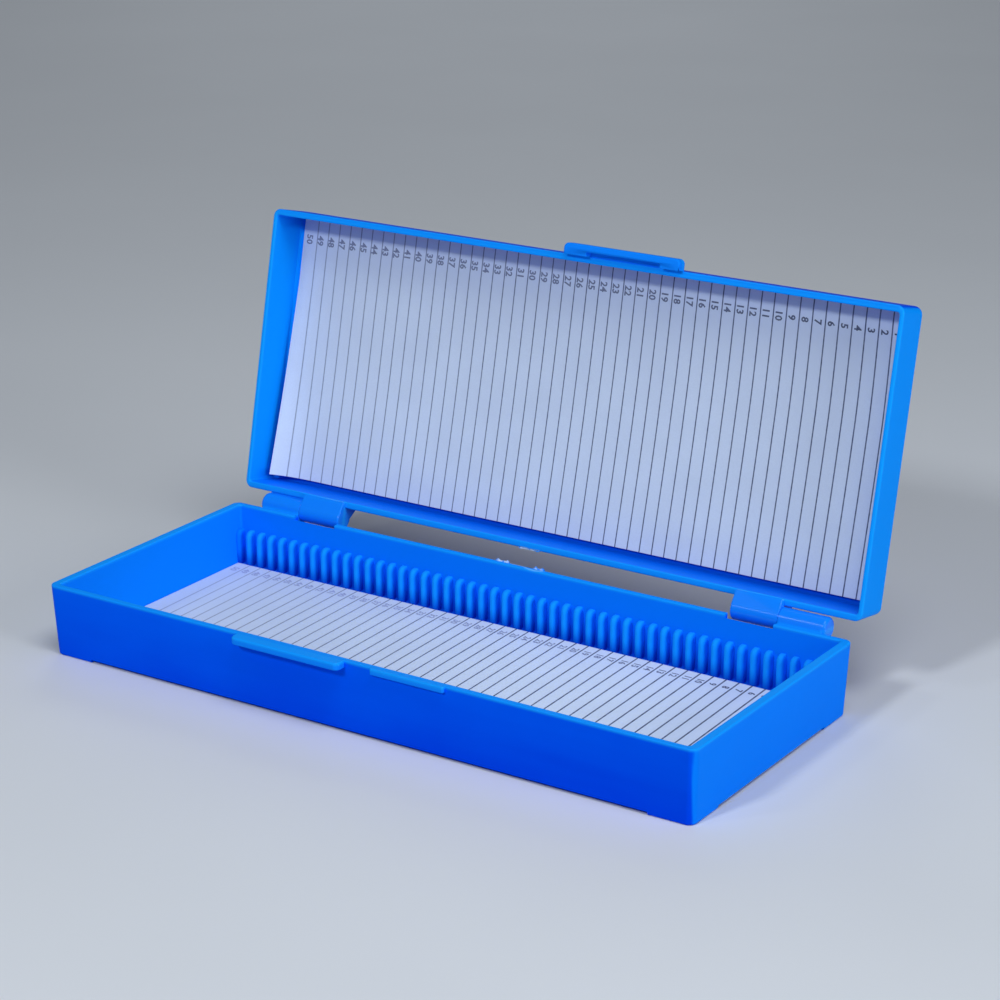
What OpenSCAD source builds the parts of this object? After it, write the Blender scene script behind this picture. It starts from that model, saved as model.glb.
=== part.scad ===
// Hinged box for microscope slides, with its lid open against the stops.
// Millimetres. +X runs along the box, the front is -Y and +Z is up. The origin lies on the surface
// that the feet stand on, below the middle of the open box.

/* [Slides and slots] */
// Length of the glass slide that stands across the tray
slide_l = 76; // [70:0.5:80]
// Free play at each end of a slide, at the tray floor
slide_end_gap = 0.7; // [0.3:0.1:1.5]
// Number of slots along the tray
slot_count = 50; // [10:1:60]
// Distance from one slot to the next
slot_pitch = 3.9; // [3.2:0.1:6]
// Thickness of one rib, along the box
rib_w = 2.1; // [1.4:0.1:2.6]
// How far each rib reaches over the end of a centred slide
rib_grip = 1.5; // [1:0.1:3]
// Height of the ribs above the tray floor
rib_h = 10.4; // [6:0.2:12]
// Size of the bevel at the top of each rib
rib_crown = 1.2; // [0.4:0.1:1.6]

/* [Tray] */
// Height of the tray, with its feet
tray_h = 20.4; // [18:0.1:30]
// Thickness of the lid's walls and of the tray's long walls
wall_t = 1.8; // [1.4:0.1:2.6]
// Thickness of the tray's end walls
end_wall_t = 2.6; // [1.8:0.1:3.4]
// Thickness of the tray floor
floor_t = 2.0; // [1.2:0.1:3]
// Lean of the tray walls, in degrees
tray_draft = 2.4; // [0.5:0.1:4]
// Radius of the upright outer corners
corner_r = 2.2; // [1:0.1:4]
// Radius of the upright inner corners
inner_corner_r = 0.8; // [0.4:0.1:2]
// Bevel along the bottom edge of the tray
tray_edge = 0.6; // [0.2:0.1:0.8]
// Height of the corner feet
foot_h = 0.9; // [0.4:0.1:1.6]
// Length of each foot along both sides of its corner
foot_l = 12.5; // [8:0.5:20]

/* [Lid] */
// Height of the closed lid above the rim
lid_h = 13.6; // [11:0.1:20]
// Thickness of the lid's flat top
lid_top_t = 1.8; // [1.2:0.1:3]
// Lean of the lid walls, in degrees
lid_draft = 2.0; // [0.5:0.1:4]
// Bevel along the top edge of the lid
lid_edge = 1.2; // [0.4:0.1:1.6]
// Opening angle at which the lid meets its stops
open_angle = 102.4; // [95:0.1:115]

/* [Hinges] */
// Diameter of the hinge pins
pin_d = 2.0; // [1.5:0.1:2.6]
// Outer diameter of the knuckles
knuckle_d = 6.2; // [5:0.1:6.4]
// Length of one knuckle
knuckle_l = 13.9; // [8:0.1:18]
// Distance of the pin behind the back wall
hinge_back = 3.4; // [3.4:0.1:5]
// Height of the pin above the tray rim
hinge_up = 0.2; // [0:0.1:0.6]
// Distance from the end of the box to the outer knuckle
hinge_inset = 8.5; // [4:0.1:20]
// Depth of the notch in the back rim under each lid strap, at the inside of the wall
notch_d = 1.2; // [0.6:0.1:2]
// Length of the flat stop behind each tray knuckle
stop_l = 2.6; // [1.5:0.1:3]
// Solid wall left at the outer end of each tray knuckle's bore
knuckle_end_t = 1.6; // [0.8:0.1:3]
// Depth of the pin's inner end below the end of the lid knuckle
pin_recess = 0.5; // [0.2:0.1:1.5]

/* [Latch and grip] */
// Length of the lid tab, and of the tray ledge beside it
grip_l = 36.6; // [25:0.1:45]
// How far the tab and the ledge stand out from the front wall
grip_out = 3.2; // [2.6:0.1:5]
// How far the tab hangs below the rim, and the height of the ledge
grip_h = 2.1; // [1.5:0.1:5]
// Height of the tab's root above the rim
tab_rise = 1.2; // [0.8:0.1:3]
// Radius of the outer corners of tab and ledge
grip_r = 1.4; // [0.6:0.1:2]
// Length of the catch on the tray, behind the tab
catch_l = 22.5; // [12:0.5:30]
// How far the catch stands out from the front wall
catch_out = 1.0; // [0.6:0.1:1.4]
// Height of the catch
catch_h = 1.7; // [1:0.1:4]
// Radius of the outer corners of the catch
catch_r = 0.6; // [0.2:0.1:0.6]

/* [Index cards] */
// Thickness of the card on the tray floor
tray_card_t = 0.5; // [0.3:0.1:1]
// Thickness of the card in the lid
lid_card_t = 0.4; // [0.3:0.1:1]
// Gap between the tray card and the walls or ribs around it
card_gap = 0.4; // [0.2:0.1:1]
// Gap between the lid card and the lid's long walls
lid_card_side_gap = 1.3; // [0.3:0.1:4]
// Gap between the lid card and the lid's end walls
lid_card_end_gap = 1.2; // [0.3:0.1:4]

/* [Clearances] */
// Gap between the rims when the lid is closed
seat_gap = 0.1; // [0.05:0.05:0.3]
// Gap between the open lid and its stops
stop_gap = 0.1; // [0.05:0.05:0.3]
// Gap at the ends of the knuckles and in the rim notches
knuckle_gap = 0.3; // [0.2:0.05:0.6]
// Radial clearance of the pin in a lid knuckle
pin_gap = 0.05; // [0.02:0.01:0.1]
// Gap between the tab and the tray, and between the tab and the ledge
latch_gap = 0.3; // [0.2:0.05:0.6]
// Seam between the ribs and the tray wall
rib_gap = 0.02; // [0.01:0.01:0.1]

/* [Hidden] */

// Smoothness of round parts, and of the rounded corners of the shells
$fn = 64;
corner_fn = 32;
// Thickness of the slices that span a tapered shell, and the overrun of cuts
slice = 0.01;
over = 1;

blue = [0.04, 0.38, 0.96];
paper = [0.86, 0.88, 0.96];
steel = [0.75, 0.76, 0.78];

// Tray cavity at the floor, and the outside of the box at the rim
floor_z = foot_h + floor_t;
cavity_l = slot_count * slot_pitch;
cavity_w = slide_l + 2 * slide_end_gap;
cavity_taper = (tray_h - floor_z) * tan(tray_draft);
box_l = cavity_l + 2 * (cavity_taper + end_wall_t);
box_w = cavity_w + 2 * (cavity_taper + wall_t);
rib_tip = slide_l / 2 - rib_grip;

// Lid, in its closed place
lid_z = tray_h + seat_gap;
lid_depth = lid_h - lid_top_t;
lid_cavity_l = box_l - 2 * wall_t;
lid_cavity_w = box_w - 2 * wall_t;

// Hinge line, and the knuckles of the right-hand hinge along it
hinge_y = box_w / 2 + hinge_back;
hinge_z = tray_h + hinge_up;
tray_knuckle_x = box_l / 2 - hinge_inset - knuckle_l;
lid_knuckle_x = tray_knuckle_x - knuckle_gap - knuckle_l;
bore_end_x = tray_knuckle_x + knuckle_l - knuckle_end_t;
pin_x = lid_knuckle_x + pin_recess;
pin_l = bore_end_x - knuckle_gap - pin_x;

// Underside of a lid strap, from the hinge line: its inner corner, and where it meets the knuckle
strap_in = [-hinge_back - wall_t, knuckle_gap - notch_d - hinge_up];
strap_turn = atan2(strap_in[1], strap_in[0]) + acos(knuckle_d / 2 / norm(strap_in));
strap_out = [cos(strap_turn), sin(strap_turn)] * knuckle_d / 2;
strap_slope = (strap_out[1] - strap_in[1]) / (strap_out[0] - strap_in[0]);

// Tab and ledge meet near the middle of the front, and the catch is centred behind the tab
grip_x = latch_gap / 2;
catch_x = grip_x + (grip_l - catch_l) / 2;

// The open box reaches from the ledge to the top edge of the lid
front_reach = box_w / 2 + grip_out;
lid_edge_in = hinge_y + box_w / 2 - lid_h * tan(lid_draft) - lid_edge;
rear_reach = hinge_y - lid_edge_in * cos(open_angle) + (lid_z + lid_h - hinge_z) * sin(open_angle);
centre_y = (rear_reach - front_reach) / 2;

// Four rounded corners of a rectangle, as one thin slice
module corners(l, w, r) {
    for (x = [-1, 1], y = [-1, 1])
        translate([x * (l / 2 - r), y * (w / 2 - r), 0])
            cylinder(r = r, h = slice, $fn = corner_fn);
}

// Block with leaning walls, l by w at its open end at height h and smaller by the lean at z = 0,
// where its edge is bevelled
module tapered_block(l, w, h, lean, r, bevel) {
    foot_in = 2 * h * tan(lean);
    bevel_in = 2 * (h - bevel) * tan(lean);
    hull() {
        corners(l - foot_in - 2 * bevel, w - foot_in - 2 * bevel, r);
        translate([0, 0, bevel]) corners(l - bevel_in, w - bevel_in, r);
        translate([0, 0, h - slice]) corners(l, w, r);
    }
}

// Outline of a grip on the front wall: it starts inside the wall and has two rounded outer corners
module grip_outline(l, out, r) {
    root = wall_t / 2;
    translate([0, -root]) square([l, out + root - r]);
    translate([r, -root]) square([l - 2 * r, out + root]);
    for (x = [r, l - r]) translate([x, out - r]) circle(r);
}

// A grip that starts at x, z on the front wall and is h high
module front_grip(x, z, l, out, h, r) {
    translate([x, -box_w / 2, z])
        mirror([0, 1, 0])
            linear_extrude(h) grip_outline(l, out, r);
}

// Outline in Y and Z, extruded along the box from x over length l
module along_box(x, l) {
    translate([x, 0, 0]) rotate([90, 0, 90]) linear_extrude(l) children();
}

// Cylinder on the hinge line, from x over length l
module on_hinge(x, l, d) {
    translate([x, hinge_y, hinge_z]) rotate([0, 90, 0]) cylinder(d = d, h = l);
}

// The right-hand hinge's children, and their mirror image at the left
module both_hinges() {
    for (side = [0, 1]) mirror([side, 0, 0]) children();
}

// Turns a closed lid piece about the hinge line to the open stop
module opened() {
    translate([0, hinge_y, hinge_z])
        rotate([-open_angle, 0, 0])
            translate([0, -hinge_y, -hinge_z]) children();
}

// Moves the assembly so that the open box stands centred over the origin
module placed() {
    translate([0, -centre_y, 0]) children();
}

// Point of the open lid's back face, dz along it from the hinge line, with the stop's gap taken off
function stop_point(dz) =
    let (reach = hinge_back + (dz + hinge_up - seat_gap) * tan(lid_draft) - stop_gap)
        [
            dz * sin(open_angle) - reach * cos(open_angle),
            dz * cos(open_angle) + reach * sin(open_angle)
        ];

// Tray knuckle: a round front on a bracket from the back wall, with a flat stop behind for the lid
module tray_knuckle() {
    root_y = box_w / 2 - wall_t / 2;
    bottom_z = hinge_z - knuckle_d / 2;
    on_hinge(tray_knuckle_x, knuckle_l, knuckle_d);
    along_box(tray_knuckle_x, knuckle_l) {
        polygon([
            [root_y, tray_h], [hinge_y, tray_h], [hinge_y, bottom_z],
            [root_y, bottom_z - (hinge_y - root_y)]
        ]);
        translate([hinge_y, hinge_z])
            polygon([[0, 0], stop_point(0), stop_point(stop_l), [knuckle_d / 2, 0]]);
    }
}

// Lid knuckle on a wedge-shaped strap that drops into the rim notch, with a gusset up the back wall
module lid_knuckle() {
    root_y = -hinge_back - wall_t / 2;
    rim_z = seat_gap - hinge_up + seat_gap;
    top_z = knuckle_d / 2;
    on_hinge(lid_knuckle_x, knuckle_l, knuckle_d);
    along_box(lid_knuckle_x, knuckle_l)
        translate([hinge_y, hinge_z])
            polygon([
                strap_in, strap_out, [0, 0], [0, top_z], [root_y, top_z - root_y],
                [root_y, rim_z], [strap_in[0], rim_z]
            ]);
}

// Ledge and catch on the front wall of the tray
module tray_grips() {
    front_grip(-grip_x - grip_l, tray_h - grip_h, grip_l, grip_out, grip_h, grip_r);
    front_grip(catch_x, tray_h - catch_h, catch_l, catch_out, catch_h, catch_r);
}

// Latch tab on the lid: it hangs over the tray's front wall, with a pocket behind for the catch
module lid_tab() {
    tab_z = tray_h - grip_h;
    pocket_x = catch_x - latch_gap;
    pocket_l = catch_l + 2 * latch_gap;
    difference() {
        front_grip(grip_x, tab_z, grip_l, grip_out, grip_h + tab_rise, grip_r);
        translate([grip_x - over, -box_w / 2 - latch_gap, tab_z - over])
            cube([grip_l + 2 * over, wall_t + latch_gap, lid_z - tab_z + over]);
        translate([pocket_x, -box_w / 2 - catch_out - latch_gap, tab_z - over])
            cube([pocket_l, catch_out + latch_gap + wall_t, lid_z - tab_z + over]);
    }
}

// Rim notches under the lid straps, with floors that lean like the straps
module rim_notches() {
    inside = strap_in[0] - over;
    outside = over - hinge_back;
    floor_in = strap_in[1] - knuckle_gap - over * strap_slope;
    both_hinges()
        along_box(lid_knuckle_x - knuckle_gap, knuckle_l + 2 * knuckle_gap)
            translate([hinge_y, hinge_z])
                polygon([
                    [inside, floor_in], [outside, floor_in + (outside - inside) * strap_slope],
                    [outside, over], [inside, over]
                ]);
}

// Clearance under the tray floor that leaves a foot at each corner
module foot_relief() {
    l = box_l + 2 * over;
    w = box_w + 2 * over;
    bottom_in = 2 * tray_h * tan(tray_draft);
    translate([-(box_l - bottom_in) / 2 + foot_l, -w / 2, -over])
        cube([box_l - bottom_in - 2 * foot_l, w, foot_h + over]);
    translate([-l / 2, -(box_w - bottom_in) / 2 + foot_l, -over])
        cube([l, box_w - bottom_in - 2 * foot_l, foot_h + over]);
}

module tray_shell() {
    rim_l = box_l - 2 * end_wall_t;
    rim_w = box_w - 2 * wall_t;
    cavity_h = tray_h - floor_z;
    color(blue) placed() difference() {
        union() {
            difference() {
                tapered_block(box_l, box_w, tray_h, tray_draft, corner_r, tray_edge);
                translate([0, 0, floor_z])
                    tapered_block(rim_l, rim_w, cavity_h, tray_draft, inner_corner_r, 0);
                foot_relief();
                rim_notches();
            }
            both_hinges() tray_knuckle();
            tray_grips();
        }
        both_hinges() on_hinge(pin_x, bore_end_x - pin_x, pin_d);
    }
}

// One rib on the rear wall at x = 0, with a round nose and a bevelled top
module slot_rib() {
    back = cavity_w / 2 - rib_gap;
    back_top = back + rib_h * tan(tray_draft);
    intersection() {
        along_box(-rib_w / 2, rib_w)
            polygon([
                [rib_tip, 0], [rib_tip, rib_h - rib_crown], [rib_tip + rib_crown, rib_h],
                [back_top, rib_h], [back, 0]
            ]);
        linear_extrude(rib_h) {
            translate([0, rib_tip + rib_w / 2]) circle(d = rib_w);
            translate([-rib_w / 2, rib_tip + rib_w / 2]) square([rib_w, cavity_w / 2]);
        }
    }
}

// The half rib in the corner against the right end wall, cut off to clear the corner's radius
module corner_rib() {
    wall_x = -rib_gap;
    corner_y = cavity_w / 2 - rib_gap - inner_corner_r;
    intersection() {
        slot_rib();
        linear_extrude(rib_h)
            polygon([
                [wall_x, 0], [wall_x, corner_y],
                [wall_x - rib_w, corner_y + rib_w], [wall_x - rib_w, 0]
            ]);
    }
}

// A full row of ribs on the rear wall
module rib_row() {
    translate([0, 0, floor_z]) {
        for (i = [1 : slot_count - 1])
            translate([(i - slot_count / 2) * slot_pitch, 0, 0]) slot_rib();
        for (side = [0, 1])
            mirror([side, 0, 0]) translate([cavity_l / 2, 0, 0]) corner_rib();
    }
}

module rear_slot_ribs() {
    color(blue) placed() rib_row();
}

module front_slot_ribs() {
    color(blue) placed() mirror([0, 1, 0]) rib_row();
}

module tray_index_card() {
    l = cavity_l - 2 * card_gap;
    w = 2 * (rib_tip - card_gap);
    color(paper) placed() translate([-l / 2, -w / 2, floor_z]) cube([l, w, tray_card_t]);
}

module hinge_pin() {
    on_hinge(pin_x, pin_l, pin_d);
}

module left_hinge_pin() {
    color(steel) placed() mirror([1, 0, 0]) hinge_pin();
}

module right_hinge_pin() {
    color(steel) placed() hinge_pin();
}

module lid_shell() {
    color(blue) placed() opened() difference() {
        union() {
            translate([0, 0, lid_z + lid_h]) mirror([0, 0, 1]) difference() {
                tapered_block(box_l, box_w, lid_h, lid_draft, corner_r, lid_edge);
                translate([0, 0, lid_top_t])
                    tapered_block(lid_cavity_l, lid_cavity_w, lid_depth, lid_draft, inner_corner_r, 0);
            }
            both_hinges() lid_knuckle();
            lid_tab();
        }
        both_hinges() on_hinge(lid_knuckle_x - over, knuckle_l + 2 * over, pin_d + 2 * pin_gap);
    }
}

module lid_index_card() {
    l = lid_cavity_l - 2 * (lid_depth * tan(lid_draft) + lid_card_end_gap);
    w = lid_cavity_w - 2 * (lid_depth * tan(lid_draft) + lid_card_side_gap);
    color(paper) placed() opened()
        translate([-l / 2, -w / 2, lid_z + lid_depth - lid_card_t]) cube([l, w, lid_card_t]);
}

tray_shell();
rear_slot_ribs();
front_slot_ribs();
tray_index_card();
left_hinge_pin();
right_hinge_pin();
lid_shell();
lid_index_card();
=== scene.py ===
import math

import bmesh
import bpy
from mathutils import Matrix, Vector


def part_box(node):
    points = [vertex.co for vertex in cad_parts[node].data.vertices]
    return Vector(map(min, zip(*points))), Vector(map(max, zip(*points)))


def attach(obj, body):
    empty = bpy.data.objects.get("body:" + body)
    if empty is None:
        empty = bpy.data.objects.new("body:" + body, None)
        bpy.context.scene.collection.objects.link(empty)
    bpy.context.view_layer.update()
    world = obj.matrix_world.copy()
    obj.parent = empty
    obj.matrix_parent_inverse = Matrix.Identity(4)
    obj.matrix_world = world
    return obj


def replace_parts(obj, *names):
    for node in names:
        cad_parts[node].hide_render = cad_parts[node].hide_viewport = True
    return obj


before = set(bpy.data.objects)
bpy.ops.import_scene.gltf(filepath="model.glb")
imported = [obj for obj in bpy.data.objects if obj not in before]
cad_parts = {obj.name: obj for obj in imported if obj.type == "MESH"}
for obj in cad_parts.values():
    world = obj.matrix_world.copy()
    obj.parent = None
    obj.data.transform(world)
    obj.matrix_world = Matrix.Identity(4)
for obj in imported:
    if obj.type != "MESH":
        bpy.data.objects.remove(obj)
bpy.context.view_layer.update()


# Tray: a shallow box shot in one piece from blue polypropylene, with leaning walls on four low
# corner feet. The finger ledge, the catch and the outer hinge knuckles belong to the same moulding.
# Shapes are drawn in millimetres from the middle of the closed box, and materials work in metres.
tray_low, tray_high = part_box("tray_shell")
card_low, card_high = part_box("tray_index_card")
middle, grip_reach = (card_low.y + card_high.y) / 2, 3.2
half_length, half_width = tray_high.x * 1000, (middle - tray_low.y) * 1000 - grip_reach
tray_rim, tray_floor, tray_lean = 20.4, 2.9, math.tan(math.radians(2.4))
wall, end_wall, rim_round, foot_round, floor_round = 1.8, 2.6, 0.4, 0.6, 0.6
corner_round, inner_corner, floor_corner = 2.2, 0.8, 0.4
hinge_y, hinge_z, knuckle_r, pin_r = half_width + 3.4, tray_rim + 0.2, 3.1, 1.0
knuckle_end, knuckle_length, knuckle_gap, knuckle_seam = half_length - 8.5, 13.9, 0.3, 0.07
outer_start = knuckle_end - knuckle_length
inner_start, inner_end = outer_start - knuckle_gap - knuckle_length, outer_start - knuckle_seam
tray_place = Matrix.Translation((0, middle, 0)) @ Matrix.Scale(0.001, 4)
tray_stand = Matrix.Translation((0, -middle, 0))


def bends(steps):
    """Angles round a quarter turn."""
    return [math.radians(90 * i / steps) for i in range(steps + 1)]


def box_ring(inset, radius, z, end=0, steps=8):
    """Rounded rectangle, this far inside the rim's outer edge and further in at the ends, at height z."""
    ring = []
    for x, y, start in ((1, -1, 270), (1, 1, 0), (-1, 1, 90), (-1, -1, 180)):
        for i in range(steps + 1):
            turn = math.radians(start + 90 * i / steps)
            ring.append((
                x * (half_length - inset - end - radius) + radius * math.cos(turn),
                y * (half_width - inset - radius) + radius * math.sin(turn),
                z,
            ))
    return ring


def leaned(depth, inset):
    """How far in a tray wall's face stands at this depth, for its inset at the rim."""
    return depth * tray_lean + inset


def skin(name, rings):
    """Closed skin over a row of rings."""
    shape = bmesh.new()
    loops = [[shape.verts.new(point) for point in ring] for ring in rings]
    for near, far in zip(loops, loops[1:]):
        for i in range(len(near)):
            j = (i + 1) % len(near)
            shape.faces.new((near[i], near[j], far[j], far[i]))
    shape.faces.new(loops[0])
    shape.faces.new(loops[-1])
    bmesh.ops.recalc_face_normals(shape, faces=shape.faces)
    mesh = bpy.data.meshes.new(name)
    shape.to_mesh(mesh)
    shape.free()
    made = bpy.data.objects.new(name, mesh)
    bpy.context.collection.objects.link(made)
    return made


def soft_bar(name, outline, low, high, edge, turn=lambda *point: point):
    """Outline in u, v drawn out from low to high, with round end edges; turn gives u, v, w as x, y, z."""
    outward = []
    for i in range(len(outline)):
        before, here = Vector(outline[i - 1]), Vector(outline[i])
        after = Vector(outline[(i + 1) % len(outline)])
        into, out = (here - before).normalized(), (after - here).normalized()
        mitre = Vector((into.y + out.y, -into.x - out.x)).normalized()
        outward.append(mitre / max(0.6, mitre.dot(Vector((into.y, -into.x)))))
    steps = [(edge * (1 - math.sin(bend)), edge * (1 - math.cos(bend))) for bend in bends(3)]
    stations = [(inset, low + w) for inset, w in steps]
    stations += [(inset, high - w) for inset, w in reversed(steps)]
    rings = []
    for inset, w in stations:
        rings.append([
            turn(u - inset * side.x, v - inset * side.y, w)
            for (u, v), side in zip(outline, outward)
        ])
    return skin(name, rings)


def block(name, low, high):
    """Square cutter between two corners."""
    corners = [(low[0], low[1]), (high[0], low[1]), (high[0], high[1]), (low[0], high[1])]
    return skin(name, [[(x, y, z) for x, y in corners] for z in (low[2], high[2])])


def arc(u, v, radius, start, end, steps):
    """Points on part of a circle, angles in degrees."""
    turns = [math.radians(start + (end - start) * i / steps) for i in range(steps + 1)]
    return [(u + radius * math.cos(t), v + radius * math.sin(t)) for t in turns]


def round_section(x, radius, sides):
    """A circle about the hinge line, at this x."""
    return [(x, y, z) for y, z in arc(hinge_y, hinge_z, radius, 0, 360 - 360 / sides, sides - 1)]


def rod(name, x0, x1, radius, soft0=0.0, soft1=0.0):
    """Round bar on the hinge line, with its two end edges rounded this much."""
    rings = []
    for x, soft, way in ((x0, soft0, 1), (x1, soft1, -1)):
        rows = [
            (x + way * soft * (1 - math.cos(bend)), radius - abs(soft) * (1 - math.sin(bend)))
            for bend in (bends(5) if soft else [0.0])
        ]
        rings += rows if way > 0 else reversed(rows)
    return skin(name, [round_section(x, r, 36) for x, r in rings])


def on_hinge(side):
    """Sets an outline drawn about the hinge line along x, at the left or the right hinge."""
    return lambda u, v, w: (side * w, hinge_y + u, hinge_z + v)


def grip_outline(x0, length, reach, radius):
    """A grip on the front wall from above: it starts inside the wall and has two round corners."""
    root, face = -half_width + wall / 2, -half_width - reach
    return (
        [(x0 + length, root), (x0, root)]
        + arc(x0 + radius, face + radius, radius, 180, 270, 6)
        + arc(x0 + length - radius, face + radius, radius, 270, 360, 6)
    )


def moulded(base, place, add=(), cut=()):
    """Fuses and cuts the pieces, puts the result in its place and gives it clean smooth normals."""
    for tool in (*add, *cut):
        step = base.modifiers.new(tool.name, "BOOLEAN")
        step.object, step.solver = tool, "EXACT"
        step.operation = "UNION" if tool in add else "DIFFERENCE"
    for stage in ("fuse", "normals"):
        if stage == "normals":
            base.modifiers.new(stage, "WEIGHTED_NORMAL").keep_sharp = True
        graph = bpy.context.evaluated_depsgraph_get()
        mesh = bpy.data.meshes.new_from_object(base.evaluated_get(graph))
        base.modifiers.clear()
        base.data = mesh
        if stage == "fuse":
            mesh.transform(place)
            mesh.shade_smooth()
            mesh.set_sharp_from_angle(angle=math.radians(38))
    for tool in (*add, *cut):
        bpy.data.objects.remove(tool)


class Shade:
    """A socket in a material; arithmetic on it adds Math nodes."""

    def __init__(self, tree, socket=None):
        self.tree, self.socket = tree, socket

    def node(self, kind, settings=(), inputs=(), output=0):
        made = self.tree.nodes.new(kind)
        for name, value in dict(settings).items():
            setattr(made, name, value)
        for name, value in dict(inputs).items():
            if isinstance(value, Shade):
                self.tree.links.new(value.socket, made.inputs[name])
            else:
                made.inputs[name].default_value = value
        return Shade(self.tree, made.outputs[output])

    def maths(self, operation, *values):
        return self.node("ShaderNodeMath", {"operation": operation}, dict(enumerate(values)))

    def size(self):
        return self.maths("ABSOLUTE", self)

    def most(self, other):
        return self.maths("MAXIMUM", self, other)

    def __add__(self, other):
        return self.maths("ADD", self, other)

    def __sub__(self, other):
        return self.maths("SUBTRACT", self, other)

    def __rsub__(self, other):
        return self.maths("SUBTRACT", other, self)

    def __mul__(self, other):
        return self.maths("MULTIPLY", self, other)

    def __truediv__(self, other):
        return self.maths("DIVIDE", self, other)

    __radd__, __rmul__ = __add__, __mul__

    def ease(self, low, high):
        """0 below low, 1 above high, smooth between."""
        return self.node(
            "ShaderNodeMapRange",
            {"interpolation_type": "SMOOTHSTEP"},
            {"Value": self, "From Min": low, "From Max": high},
        )

    def tint(self, first, second):
        """Mixes two colours by this value."""
        return self.node("ShaderNodeMix", {"data_type": "RGBA"}, {0: self, 6: first, 7: second}, 2)

    def noise(self, where, scale, detail=3.0):
        return self.node("ShaderNodeTexNoise", (), {"Vector": where, "Scale": scale, "Detail": detail})

    def mapped(self, **inputs):
        """These coordinates, moved, turned or stretched."""
        return self.node("ShaderNodeMapping", (), {"Vector": self, **inputs})

    def closed(self, stand):
        """Object coordinates brought back to the closed box."""
        return self.mapped(Location=stand.translation, Rotation=stand.to_euler())

    def split(self):
        """The x, y and z of a vector."""
        parts = self.node("ShaderNodeSeparateXYZ", (), {0: self})
        return [Shade(self.tree, out) for out in parts.socket.node.outputs]


def surface(name):
    """A new material, its shader node and its Object coordinates."""
    material = bpy.data.materials.new(name)
    material.use_nodes = True
    shader = material.node_tree.nodes["Principled BSDF"]
    where = Shade(material.node_tree).node("ShaderNodeTexCoord", output=3)
    return material, shader, where


def finish(material, shader, linked, fixed=()):
    """Links these values to the shader's inputs and sets the fixed ones."""
    for name, value in linked.items():
        material.node_tree.links.new(value.socket, shader.inputs[name])
    for name, value in dict(fixed).items():
        shader.inputs[name].default_value = value
    return material


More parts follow.
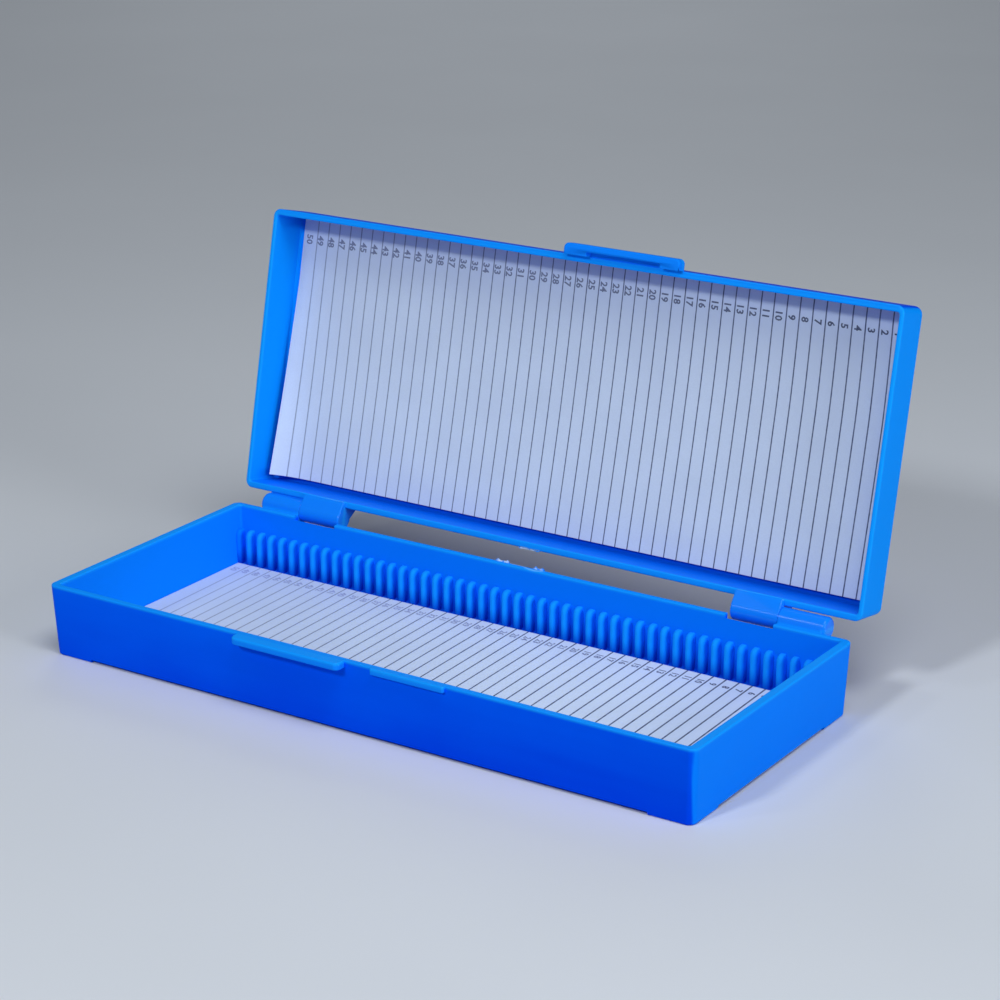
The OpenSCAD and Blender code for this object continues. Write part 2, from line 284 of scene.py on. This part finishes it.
def blue_plastic(
    name, rim_height, depth, lean, stand, sink=(-1.0, -0.9), reach=-1.0, gate=(9, 9, 1),
    scar=9.0, hang=-1.0, deep=0.8, end_tone=0.255, nose=False,
):
    """Satin polypropylene: cloudy pigment, mould grain, scuffs and a frosty gate, with painted light and
    shade: rims, end walls, inner faces and proud parts painted paler as if lit, the walls painted paler
    near the rim and to the left, and painted shade at the foot of the inner walls. depth says how far
    from the rim the inner floor lies and the painted-pale end walls go, sink and reach where the painted
    shade darkens the inner walls and deep how much, gate where the frost is and how far it goes, scar
    where the rear rim is bitten, hang below which height parts are painted paler as lit and made glossier,
    and nose paints rib noses paler as lit and their flanks darker as shaded."""
    material, shader, where = surface(name)
    flat = where.closed(stand)
    x, y, z = flat.split()
    below = (z - rim_height).size()
    long_out, cross_out = x.size() - half_length * 0.001, y.size() - half_width * 0.001
    outer = long_out.most(cross_out) + below * lean
    hollow = 1 - below.ease(depth[0] + 0.0003, depth[0] + 0.0008)
    inside = (1 - outer.ease(-0.0013, -0.0006)) * hollow
    end_body = long_out.ease(-0.0052, -0.0036) * (1 - cross_out.ease(-0.0030, -0.0015))
    end_skin = long_out.ease(-0.0016, -0.0010) * (1 - cross_out.ease(-0.0010, -0.0002))
    ends = end_body.most(end_skin) * (1 - below.ease(depth[1] - 0.0008, depth[1]))
    rim = 1 - below.ease(0.0002, 0.0011)
    proud_parts = cross_out.ease(0.00005, 0.0004).most(1 - z.ease(hang - 0.0004, hang))
    painted_wall_shade = inside * (1 - z.ease(*sink)) * cross_out.ease(reach, reach + 0.002)

    cloud = where.noise(where, 30, 2)
    streak = where.noise(flat.mapped(Scale=(14, 60, 160)), 1, 3)
    gate_x, gate_y, gate_reach = gate
    frost = 1 - ((x - gate_x) / gate_reach).size().ease(0.85, 1.0)
    frost = frost * (1 - (y - gate_y).size().ease(0.0003, 0.0007)) * rim
    frost = frost * where.noise(where, 900, 2).ease(0.36, 0.56)
    scar_reach, scar_y, scar_bow = 0.0036, 0.0399, 0.0006
    bow = ((x - scar) / scar_reach).size()
    bitten = 1 - (y - scar_y - bow * bow * scar_bow).size().ease(0.00015, 0.0005)
    bitten = bitten * (1 - bow.ease(0.7, 1.0)) * rim

    # Pigment cloud and streaks, plus painted light: paler near the rim and towards the left, darker further
    # down and to the right.
    cloud_and_painted_light = (cloud * 0.6 + streak * 0.4).ease(0.3, 0.7) * 0.3 + 0.6 - x * 2.5 - below * 28.0
    body = cloud_and_painted_light.tint((0.0, 0.052, 0.78, 1), (0.0, 0.13, 1.0, 1))
    # Painted light: the inner faces are painted paler than the outside, as if lit by light bounced inside the
    # box.
    body = (inside * 0.85).tint(body, (0.002, 0.22, 1.0, 1))
    # Painted light: the end walls are painted paler, as if lit from the side.
    body = (ends * 0.75).tint(body, (0.003, end_tone, 1.0, 1))
    # Painted light: proud parts (knuckles, straps, ledge, catch, tab) are painted paler, as if lit.
    body = (proud_parts * 0.85).tint(body, (0.006, 0.26, 1.0, 1))
    # Painted light and shade on the ribs: noses paler as lit, flanks and the row's ends darker as shaded.
    if nose:
        rib = x / (rib_pitch * 0.001)
        painted_flank_shade = (rib - rib.maths("ROUND", rib)).size().ease(0.08, 0.36)
        painted_flank_shade = painted_flank_shade.most(x.size().ease(0.0955, 0.0965))
        body = painted_flank_shade.tint((0.007, 0.31, 1.0, 1), (0.001, 0.195, 1.0, 1))
    else:
        # Painted light: the rims are painted paler, as if lit from above.
        body = (rim * 0.75).tint(body, (0.007, 0.34, 1.0, 1))
    # Painted shade: the foot of the inner walls and of the ribs is painted darker, where shade falls.
    body = (painted_wall_shade * deep).tint(body, (0.0, 0.03, 0.55, 1))
    body = (bitten * 0.6).tint(body, (0.2, 0.6, 1.0, 1))
    body = (frost * 0.85).tint(body, (0.62, 0.76, 0.95, 1))

    scuff = where.noise(flat.mapped(Scale=(90, 900, 420), Rotation=(0.3, 0.2, 0.5)), 1, 2)
    scuff = scuff.ease(0.66, 0.74)
    grain = where.noise(where, 2600, 2)
    relief = grain * 0.35 + where.noise(where, 120, 2) * 0.9 - scuff * 0.12 + frost * 0.8
    return finish(material, shader, {
        "Base Color": body,
        "Roughness": 0.30 + cloud * 0.08 + grain * 0.06 + scuff * 0.12 + frost * 0.2,
        "Normal": where.node("ShaderNodeBump", (), {
            "Strength": 0.16, "Distance": 0.0002, "Height": relief,
        }),
        "Coat Weight": proud_parts * y.ease(0.0, 0.001) * 0.5 + rim * 0.06,
    }, {
        "Coat Roughness": 0.2,
        "Coat IOR": 1.45,
        "IOR": 1.49,
        "Specular IOR Level": 0.008,
        "Specular Tint": (0.25, 0.55, 1.0, 1),
    })


def gate_flash(name, x0, x1, z, way):
    """Ragged thin fin left along the outer edge of the rear rim where the plastic was fed in."""
    spacing, root, horn, horn_in, horn_width = 0.25, 0.6, 0.4, 0.7, 0.35
    rings = []
    count = round((x1 - x0) / spacing)
    for i in range(count + 1):
        x = x0 + (x1 - x0) * i / count
        torn = 0.06 + 0.10 * abs(math.sin(2.1 * x)) + 0.08 * abs(math.sin(5.3 * x + 1))
        torn += horn * math.exp(-((x - x0 - horn_in) / horn_width) ** 2)
        torn += horn * math.exp(-((x - x1 + horn_in) / horn_width) ** 2)
        foot, tip = z - way * root, z + way * torn
        near, far = half_width - 0.2, half_width + 0.1 + 0.25 * torn
        rings.append([(x, near, foot), (x, far, foot), (x, far, tip), (x, half_width + 0.04, tip)])
    return skin(name, rings)


rings = []
for bend in bends(3):
    inset, height = foot_round * (1 - math.sin(bend)), foot_round * (1 - math.cos(bend))
    rings.append(box_ring(leaned(tray_rim - height, inset), corner_round - inset, height))
for bend in bends(4):
    inset, height = rim_round * (1 - math.cos(bend)), tray_rim - rim_round * (1 - math.sin(bend))
    rings.append(box_ring(inset, corner_round - inset, height))
for bend in bends(4):
    inset, height = wall - rim_round * (1 - math.sin(bend)), tray_rim - rim_round * (1 - math.cos(bend))
    radius = corner_round - inset * (corner_round - inner_corner) / wall
    rings.append(box_ring(inset, radius, height, end_wall - wall))
for bend in bends(4):
    inset, height = floor_round * (1 - math.cos(bend)), tray_floor + floor_round * (1 - math.sin(bend))
    radius = inner_corner - (inner_corner - floor_corner) * (1 - math.cos(bend))
    rings.append(box_ring(leaned(tray_rim - height, wall + inset), radius, height, end_wall - wall))
tray = skin("tray_moulding", rings)

ledge_low, ledge_start, ledge_length = 18.3, -35.7, 34.6
catch_low, catch_start, catch_length, catch_reach = 18.7, 7.2, 22.5, 1.0
grip_top = tray_rim - 0.01
tray_parts = [
    soft_bar("ledge", grip_outline(ledge_start, ledge_length, grip_reach, 1.6), ledge_low, grip_top, 0.5),
    soft_bar("catch", grip_outline(catch_start, catch_length, catch_reach, 0.6), catch_low, grip_top, 0.3),
]
foot_length, foot_height, past = 12.5, 0.9, 120
foot_x = half_length - leaned(tray_rim, foot_length)
foot_y = half_width - leaned(tray_rim, foot_length)
tray_cuts = [
    block("relief_x", (-foot_x, -past / 2, -1), (foot_x, past / 2, foot_height)),
    block("relief_y", (-past, -foot_y, -1), (past, foot_y, foot_height)),
]
# The knuckle seen from the end: a bracket off the back wall, squared off behind as the stop, round the bar.
bracket = (
    [(-4.3, -7.4)]
    + arc(0, 0, knuckle_r - 0.02, -80, 0, 7)
    + arc(2.72, 2.36, 0.5, -5, 77.6, 4)
    + arc(1.12, 2.74, 0.5, 77.6, 150, 3)
    + [(0, 2.6), (-2.85, 1.2), (-3.45, -0.18), (-4.3, -0.21)]
)
# The rim is notched beside each knuckle, where the lid's strap passes over it.
notch_floor, notch_slope, notch_length, notch_top = 19.42, -0.4397, 14.5, 22
notch_in, notch_out = half_width - wall - 1, half_width + 1
notch = [
    (notch_in, notch_floor - notch_slope), (notch_out, notch_floor + notch_slope * (wall + 1)),
    (notch_out, notch_top), (notch_in, notch_top),
]
bracket_short, bore_wall = 0.8, 1.6
for side in (-1, 1):
    tray_parts.append(soft_bar(
        "bracket", bracket, outer_start, knuckle_end - bracket_short, 0.5, on_hinge(side)
    ))
    tray_parts.append(rod(
        "tray_knuckle", side * outer_start, side * knuckle_end, knuckle_r, side * 0.15, side * 1.0
    ))
    tray_cuts.append(skin("notch", [
        [(side * x, y, z) for y, z in notch] for x in (outer_start - notch_length, outer_start - 0.01)
    ]))
    tray_cuts.append(rod("bore", side * (outer_start - 8), side * (knuckle_end - bore_wall), pin_r))
tray_parts.append(gate_flash("left_flash", -9.4, -5.0, tray_rim, 1))
tray_parts.append(gate_flash("right_flash", 3.0, 6.6, tray_rim, 1))
moulded(tray, tray_place, tray_parts, tray_cuts)
tray_depth = ((tray_rim - tray_floor) * 0.001, 0.0215)
tray.data.materials.append(blue_plastic(
    "tray_blue", tray_rim * 0.001, tray_depth, tray_lean, tray_stand,
    sink=(0.003, 0.0125), reach=-0.0045, gate=(-0.0014, 0.0413, 0.0082), scar=0.0036,
))
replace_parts(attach(tray, "tray"), "tray_shell")


# Slot ribs: fifty-one round-nosed ribs on each long wall, moulded in one with the tray. They stand
# between the slots and hold the slides on edge.
rib_count, rib_pitch, rib_tip, rib_half, rib_height = 51, 3.9, 36.5, 1.05, 10.4
rib_crown, rib_slope, rib_thinned, rib_root = 2.0, 1.6, 0.45, 0.5
row_half = rib_pitch * (rib_count - 1) / 2
wall_foot = half_width - leaned(tray_rim - tray_floor, wall)

row = bpy.data.node_groups.new("rib_row", "GeometryNodeTree")
sockets = {}
for label, kind in (
    ("Rib", "Geometry"), ("Ribs", "Int"), ("Pitch", "Float"), ("First rib", "Vector"), ("Plastic", "Material"),
):
    sockets[label] = row.interface.new_socket(label, in_out="INPUT", socket_type="NodeSocket" + kind)
row.interface.new_socket("Row", in_out="OUTPUT", socket_type="NodeSocketGeometry")
given = row.nodes.new("NodeGroupInput")
step = row.nodes.new("ShaderNodeCombineXYZ")
line = row.nodes.new("GeometryNodeMeshLine")
stood = row.nodes.new("GeometryNodeInstanceOnPoints")
real = row.nodes.new("GeometryNodeRealizeInstances")
dyed = row.nodes.new("GeometryNodeSetMaterial")
shown = row.nodes.new("NodeGroupOutput")
for source, target in (
    (given.outputs["Pitch"], step.inputs["X"]),
    (given.outputs["Ribs"], line.inputs["Count"]),
    (given.outputs["First rib"], line.inputs["Start Location"]),
    (step.outputs[0], line.inputs["Offset"]),
    (line.outputs[0], stood.inputs["Points"]),
    (given.outputs["Rib"], stood.inputs["Instance"]),
    (stood.outputs[0], real.inputs[0]),
    (real.outputs[0], dyed.inputs["Geometry"]),
    (given.outputs["Plastic"], dyed.inputs["Material"]),
    (dyed.outputs[0], shown.inputs[0]),
):
    row.links.new(source, target)

# The ribs' plastic paints their noses paler as lit and their flanks darker as shaded.
rib_blue = blue_plastic(
    "rib_blue", tray_rim * 0.001, tray_depth, tray_lean, tray_stand, sink=(0.0028, 0.0085), nose=True
)
for name, node, side in (("rear_rib_row", "rear_slot_ribs", 1), ("front_rib_row", "front_slot_ribs", -1)):
    rings = []
    for z, worn in [(0, 0)] + [
        (rib_height - rib_crown * (1 - math.sin(math.radians(a))), 1 - math.cos(math.radians(a)))
        for a in (0, 25, 50, 70, 90)
    ]:
        breadth = rib_half - rib_thinned * worn
        nose = arc(0, rib_tip + rib_slope * worn + breadth, breadth, 180, 360, 8)
        back = wall_foot + rib_root + z * tray_lean
        outline = [(-breadth, back)] + nose + [(breadth, back)]
        rings.append([(x * 0.001, side * y * 0.001, z * 0.001) for x, y in outline])
    rib = skin(name, rings)
    rib.data.shade_smooth()
    rib.data.set_sharp_from_angle(angle=math.radians(50))
    repeat = rib.modifiers.new("row", "NODES")
    repeat.node_group = row
    for label, value in (
        ("Ribs", rib_count),
        ("Pitch", rib_pitch * 0.001),
        ("First rib", (-row_half * 0.001, middle, tray_floor * 0.001)),
        ("Plastic", rib_blue),
    ):
        repeat[sockets[label].identifier] = value
    mesh = bpy.data.meshes.new_from_object(rib.evaluated_get(bpy.context.evaluated_depsgraph_get()))
    rib.modifiers.clear()
    rib.data = mesh
    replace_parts(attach(rib, "tray"), node)


# Tray card: a loose printed card that lies on the tray floor between the ribs. Thin lines mark
# the slots, and a number from 1 at the right to 50 at the left names each one.
tray_card_half, tray_card_t = (97.2, 36.3), 0.5


def card_sheet(name, half_x, half_y, thick, lift, place):
    """Card of the given half sizes; lift gives the height of its upper face above the flat."""
    across, along = 180, 28
    shape = bmesh.new()
    faces = []
    for level in (0, 1):
        grid = []
        for i in range(across + 1):
            x = half_x * (2 * i / across - 1)
            grid.append([])
            for j in range(along + 1):
                y = half_y * (2 * j / along - 1)
                grid[-1].append(shape.verts.new((x, y, lift(x, y) + (level - 1) * thick)))
        faces.append(grid)
    for grid in faces:
        for i in range(across):
            for j in range(along):
                shape.faces.new((grid[i][j], grid[i + 1][j], grid[i + 1][j + 1], grid[i][j + 1]))
    low, high = faces
    rim = [(i, 0) for i in range(across)] + [(across, j) for j in range(along)]
    rim += [(i, along) for i in range(across, 0, -1)] + [(0, j) for j in range(along, 0, -1)]
    for (i, j), (k, m) in zip(rim, rim[1:] + rim[:1]):
        shape.faces.new((low[i][j], low[k][m], high[k][m], high[i][j]))
    bmesh.ops.recalc_face_normals(shape, faces=shape.faces)
    mesh = bpy.data.meshes.new(name)
    shape.to_mesh(mesh)
    shape.free()
    mesh.transform(place)
    mesh.shade_smooth()
    mesh.set_sharp_from_angle(angle=math.radians(40))
    made = bpy.data.objects.new(name, mesh)
    bpy.context.collection.objects.link(made)
    return made


def card_numbers(name, shift, y, lift, reading, place):
    """The numbers of the slots, at this y on the card; reading turns each one the way it is read."""
    digit_height, digit_weight, ink_t, ink_rise = 2.9, 0.08, 0.006, 0.03
    shape = bmesh.new()
    for number in range(1, rib_count):
        text = bpy.data.curves.new(name, "FONT")
        text.body, text.size, text.resolution_u = str(number), digit_height, 2
        text.extrude, text.offset = ink_t, digit_weight
        text.align_x, text.align_y = "CENTER", "CENTER"
        letter = bpy.data.objects.new(name, text)
        bpy.context.collection.objects.link(letter)
        mesh = bpy.data.meshes.new_from_object(letter.evaluated_get(bpy.context.evaluated_depsgraph_get()))
        slot = row_half - rib_pitch * (number - 0.5)
        mesh.transform(Matrix.Translation((slot + shift, y, 0)) @ reading)
        shape.from_mesh(mesh)
        bpy.data.objects.remove(letter)
        bpy.data.meshes.remove(mesh)
    for point in shape.verts:
        point.co.z += lift(point.co.x, point.co.y) + reading[2][2] * ink_rise
    mesh = bpy.data.meshes.new(name)
    bmesh.ops.recalc_face_normals(shape, faces=shape.faces)
    shape.to_mesh(mesh)
    shape.free()
    mesh.transform(place)
    made = bpy.data.objects.new(name, mesh)
    bpy.context.collection.objects.link(made)
    return made


def printed_card(name, half_y, pitch, shift, skew, weight, faint, tone_and_painted_light, stand):
    """Smooth white card with fine fibres, long edges a little darker and a printed line between the slots. The
    lines have this half weight and go faint to the left. The paper takes the given tone, which also carries
    painted light: a brightness gradient along x and y."""
    material, shader, where = surface(name)
    x, y, _ = where.closed(stand).split()
    slot = (x - shift - y * skew) / pitch
    off = (slot - slot.maths("ROUND", slot)).size() * pitch
    last_line = (rib_count - 2) / 2
    inside = 1 - slot.size().ease(last_line - 0.1, last_line)
    ink = where.noise(where, 700, 2)
    left, right = (0 - x).most(0.0), x.most(0.0)
    broad, soft = right * 0.0004 + weight, left * 0.0012 + 0.00006
    line = (1 - off.ease(broad - soft, broad + soft)) * inside * (0.72 + ink * 0.4) * (1 - left * faint)
    fibre = where.noise(where, 2400, 4)
    mottle = where.noise(where, 70, 3)
    # Fibre and mottle, plus painted light: a brightness gradient along x and y where more or less light falls
    # on the card.
    tone = (fibre * 0.5 + mottle * 0.5).ease(0.3, 0.7) * 0.25 + tone_and_painted_light[0] + x * tone_and_painted_light[1] + y * tone_and_painted_light[2]
    paper = tone.tint((0.55, 0.625, 0.77, 1), (0.745, 0.845, 1.0, 1))
    edge = y.size().ease(half_y - 0.0009, half_y)
    paper = (edge * 0.3).tint(paper, (0.5, 0.55, 0.72, 1))
    return finish(material, shader, {
        "Base Color": line.tint(paper, (0.05, 0.065, 0.14, 1)),
        "Roughness": 0.62 + fibre * 0.15 - line * 0.1,
        "Normal": where.node("ShaderNodeBump", (), {
            "Strength": 0.1, "Distance": 0.0001, "Height": fibre + mottle * 0.5,
        }),
    }, {"IOR": 1.4})


def printing_ink(name, pale):
    """Thin grey-blue ink that lets this much of the paper through towards the left end."""
    material, shader, where = surface(name)
    worn = where.noise(where, 1500, 3)
    colour = worn.ease(0.3, 0.75).tint((0.03, 0.042, 0.09, 1), (0.09, 0.11, 0.18, 1))
    thin = 1 - where.split()[0].ease(-0.05, 0.12)
    return finish(material, shader, {
        "Base Color": (thin * pale).tint(colour, (0.42, 0.47, 0.66, 1)),
        "Roughness": 0.5 + worn * 0.25,
    })


def tray_card_lift(x, y):
    """The card lies flat, with a slight wave from being handled."""
    return tray_floor + tray_card_t + 0.12 * math.sin(x / 31 + 1) * math.sin(y / 25 + 0.6)


tray_card = card_sheet("tray_card", *tray_card_half, tray_card_t, tray_card_lift, tray_place)
# Painted light: the tray card's paper is painted brighter to the right and to the back.
tray_card.data.materials.append(printed_card(
    "tray_card_print", tray_card_half[1] * 0.001, pitch=0.003889, shift=0.0016, skew=-0.0267,
    weight=0.00022, faint=5.5, tone_and_painted_light=(0.47, 5.0, 3.0), stand=tray_stand,
))
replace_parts(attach(tray_card, "tray"), "tray_index_card")
tray_reading = Matrix.Rotation(math.radians(-90), 4, "Z")
tray_numbers = card_numbers("tray_card_numbers", 0.7, 31.7, tray_card_lift, tray_reading, tray_place)
tray_numbers.data.materials.append(printing_ink("tray_card_ink", 0.9))
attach(tray_numbers, "tray")


# Hinge pins: two lengths of 2 mm steel wire, cut with a small bevel and pressed into the blind tray
# knuckles from the middle of the box. The lid's knuckles turn on them.
material, shader, where = surface("pin_steel")
drawn = where.noise(where.mapped(Scale=(40, 5000, 5000)), 1, 3)
pin_steel = finish(material, shader, {
    "Base Color": drawn.tint((0.5, 0.51, 0.53, 1), (0.68, 0.69, 0.7, 1)),
    "Roughness": 0.22 + drawn * 0.22,
}, {"Metallic": 1.0})
pin_start, pin_end, pin_bevel, wire_r = inner_start + 0.5, knuckle_end - 1.9, 0.28, pin_r - 0.02
for name, node, side in (("left_pin", "left_hinge_pin", -1), ("right_pin", "right_hinge_pin", 1)):
    rings = []
    for x, radius in (
        (pin_start, wire_r - pin_bevel), (pin_start + pin_bevel, wire_r),
        (pin_end - pin_bevel, wire_r), (pin_end, wire_r - pin_bevel),
    ):
        rings.append(round_section(side * x, radius, 24))
    pin = skin(name, rings)
    moulded(pin, tray_place)
    pin.data.materials.append(pin_steel)
    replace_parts(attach(pin, "tray"), node)


# Lid: the matching shallow moulding, in the same blue polypropylene, with the inner hinge knuckles
# on straps and the latch tab that hangs over the tray's front wall. It stands open on its stops.
lid_rim, lid_top, lid_inside, lid_lean = 20.5, 34.1, 32.3, math.tan(math.radians(2.0))
lid_round, lid_end_wall = 1.4, 1.3
open_angle = math.radians(102.4)
opened = (
    Matrix.Translation((0, hinge_y, hinge_z))
    @ Matrix.Rotation(-open_angle, 4, "X")
    @ Matrix.Translation((0, -hinge_y, -hinge_z))
)
lid_place = tray_place @ opened

rings = []
for bend in bends(5):
    inset, height = lid_round * (1 - math.sin(bend)), lid_top - lid_round * (1 - math.cos(bend))
    rings.append(box_ring(inset + (height - lid_rim) * lid_lean, corner_round - inset * 0.6, height))
for bend in bends(4):
    inset, height = rim_round * (1 - math.cos(bend)), lid_rim + rim_round * (1 - math.sin(bend))
    rings.append(box_ring(inset, corner_round - inset, height))
for bend in bends(4):
    inset, height = wall - rim_round * (1 - math.sin(bend)), lid_rim + rim_round * (1 - math.cos(bend))
    radius = corner_round - inset * (corner_round - inner_corner) / wall
    rings.append(box_ring(inset, radius, height, lid_end_wall - wall))
for bend in bends(4):
    inset, height = floor_round * (1 - math.cos(bend)), lid_inside - floor_round * (1 - math.sin(bend))
    radius = inner_corner - (inner_corner - floor_corner) * (1 - math.cos(bend))
    leaning = (height - lid_rim) * lid_lean + wall + inset
    rings.append(box_ring(leaning, radius, height, lid_end_wall - wall))
lid = skin("lid_moulding", rings)

tab_start, tab_length, tab_top, tab_gap, catch_gap = -0.3, 36.2, 21.6, 0.12, 0.3
tab_root, under = -half_width + wall, ledge_low - 2
tab = soft_bar("tab", grip_outline(tab_start, tab_length, grip_reach, 1.4), ledge_low, tab_top, 0.45)
moulded(tab, Matrix.Identity(4), cut=[
    block(
        "tray_room", (tab_start - 1, -half_width - tab_gap, under),
        (tab_start + tab_length + 1, tab_root, lid_rim + 0.01),
    ),
    block(
        "catch_room", (catch_start - catch_gap, -half_width - catch_reach - catch_gap, under),
        (catch_start + catch_length + catch_gap, tab_root, lid_rim + 0.6),
    ),
])
lid_parts = [tab]
lid_cuts = []
# The knuckle seen from the end: round, with a strap to the rim and a gusset up the back wall.
strap_turn, strap_r = math.radians(246.265), knuckle_r - 0.01
strap = [
    (-5.15, -1.1), (strap_r * math.cos(strap_turn), strap_r * math.sin(strap_turn)), (0, 0),
    (0, knuckle_r - 0.02), (-3.9, 7.0), (-3.9, 0.6), (-5.15, 0.6),
]
for side in (-1, 1):
    lid_parts.append(soft_bar("strap", strap, inner_start, inner_end, 0.3, on_hinge(side)))
    lid_parts.append(rod(
        "lid_knuckle", side * inner_start, side * inner_end, knuckle_r, side * 0.5, side * 0.15
    ))
    lid_cuts.append(rod("bore", side * (inner_start + 0.4), side * (inner_end + 1), pin_r + 0.05))
lid_parts.append(gate_flash("lid_flash", -4.4, 2.4, lid_rim, -1))
moulded(lid, lid_place, lid_parts, lid_cuts)
lid_stand = Matrix.Scale(0.001, 4) @ lid_place.inverted()
# Painted light and shade: the lid's end walls are painted paler than the tray's and the painted shade on its
# inner walls is weaker.
lid.data.materials.append(blue_plastic(
    "lid_blue", lid_rim * 0.001, ((lid_inside - lid_rim) * 0.001, 0.0134), lid_lean, lid_stand,
    sink=(lid_inside * 0.001, 0.0212), reach=-0.006, gate=(-0.0010, 0.0415, 0.0036),
    hang=lid_rim * 0.001, deep=0.55, end_tone=0.35,
))
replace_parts(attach(lid, "lid"), "lid_shell")


# Lid card: a second printed card laid loose in the lid. It has slipped towards the latch, bowed
# along both long edges and curled up at its left end.
lid_card_half, lid_card_t, lid_card_slip = (97.4, 38.1), 0.4, -0.68


def bowed(distance, width):
    """How far a bow has risen, from 0 where it starts to 1 at this width."""
    return min(1, max(0, distance / width))


def lid_card_lift(x, y):
    """Height of the printed face, which looks down from the closed lid."""
    low = bowed(y - 2, 36) ** 1.5
    top = max(0, 0.68 + 0.009 * x + 0.0001 * max(0, x) ** 2) * bowed(-8 - y, 29) ** 1.5
    left = 0.066 * max(0, y + 20) * bowed(-80 - x, 17.4) ** 3.5
    return lid_inside - lid_card_t - low - top - left


def lid_card_back(x, y):
    """The card's back face, from which its sheet is built towards the printed one."""
    return lid_card_lift(x, y + lid_card_slip) + lid_card_t


lid_card_place = lid_place @ Matrix.Translation((0, lid_card_slip, 0))
lid_card = card_sheet("lid_card", *lid_card_half, lid_card_t, lid_card_back, lid_card_place)
# Painted light and shade: the lid card's paper is painted darker than the tray card's, brighter towards the
# hinge and a little darker to the right.
lid_card.data.materials.append(printed_card(
    "lid_card_print", 0.0377, pitch=0.003888, shift=0.00068, skew=-0.004,
    weight=0.00016, faint=3.0, tone_and_painted_light=(0.06, -0.8, 8.0), stand=lid_stand,
))
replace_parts(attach(lid_card, "lid"), "lid_index_card")
lid_reading = Matrix(((0, 1, 0, 0), (1, 0, 0, 0), (0, 0, -1, 0), (0, 0, 0, 1)))
lid_numbers = card_numbers("lid_card_numbers", 0.25, -33.0, lid_card_lift, lid_reading, lid_place)
lid_numbers.data.materials.append(printing_ink("lid_card_ink", 0.35))
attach(lid_numbers, "lid")


# Studio: a plain pale floor under a small key light from the front and above, a kicker beside it,
# broad fills from the right and from above, one over the floor behind, and a faint even sky.
floor_half = 4
mesh = bpy.data.meshes.new("floor")
mesh.from_pydata(
    [(x * floor_half, y * floor_half, 0) for x, y in ((-1, -1), (1, -1), (1, 1), (-1, 1))], [], [(0, 1, 2, 3)]
)
floor = bpy.data.objects.new("floor", mesh)
bpy.context.collection.objects.link(floor)
material, shader, where = surface("floor_paper")
mesh.materials.append(finish(material, shader, {
    "Base Color": where.noise(where, 9, 2).tint((0.70, 0.71, 0.73, 1), (0.74, 0.75, 0.77, 1)),
}, {"Roughness": 0.6}))

world = bpy.data.worlds.new("studio")
bpy.context.scene.world = world
world.use_nodes = True
world.node_tree.nodes["Background"].inputs["Color"].default_value = (0.8, 0.9, 1.0, 1)
world.node_tree.nodes["Background"].inputs["Strength"].default_value = 0.03


def softbox(name, position, target, size, power):
    """Round soft light of this size in metres, turned to its target."""
    lamp = bpy.data.lights.new(name, "AREA")
    lamp.shape, lamp.size, lamp.energy, lamp.color = "DISK", size, power, (0.87, 0.93, 1.0)
    made = bpy.data.objects.new(name, lamp)
    made.location = position
    made.rotation_euler = (Vector(target) - Vector(position)).to_track_quat("-Z", "Y").to_euler()
    bpy.context.collection.objects.link(made)


softbox("key", (-0.10, -0.92, 0.73), (0, 0, 0.05), 0.15, 4.9)
softbox("left_kicker", (-0.45, -0.835, 0.75), (0, 0, 0.04), 0.08, 0.8)
softbox("right_fill", (1.0, -0.13, 0.34), (0, 0, 0.04), 0.5, 4.8)
softbox("top_fill", (0.45, -0.30, 1.15), (0, 0, 0.02), 0.65, 6.4)
softbox("back_fill", (-0.7, 1.1, 0.9), (-0.7, 1.1, 0), 0.6, 3.0)


# Camera: the photograph's standpoint, a long lens from the right front, a little above the box.
# The view is turned by a hair, as the photographer held it.
azimuth, elevation, roll = math.radians(33.283), math.radians(19.0476), math.radians(-0.0824)
standpoint = (0.390531, -0.581623, 0.288962)
right = Vector((math.cos(azimuth), math.sin(azimuth), 0))
forward = Vector((-math.sin(azimuth), math.cos(azimuth), 0))
back = -forward * math.cos(elevation) + Vector((0, 0, math.sin(elevation)))
up = back.cross(right)
right, up = math.cos(roll) * right + math.sin(roll) * up, math.cos(roll) * up - math.sin(roll) * right
lens = bpy.data.cameras.new("camera")
lens.sensor_width, lens.lens, lens.clip_start = 36, 100.31, 0.01
camera = bpy.data.objects.new("camera", lens)
camera.matrix_world = Matrix.Translation(standpoint) @ Matrix((right, up, back)).transposed().to_4x4()
bpy.context.collection.objects.link(camera)
bpy.context.scene.camera = camera
bpy.context.scene.view_settings.view_transform = "Standard"
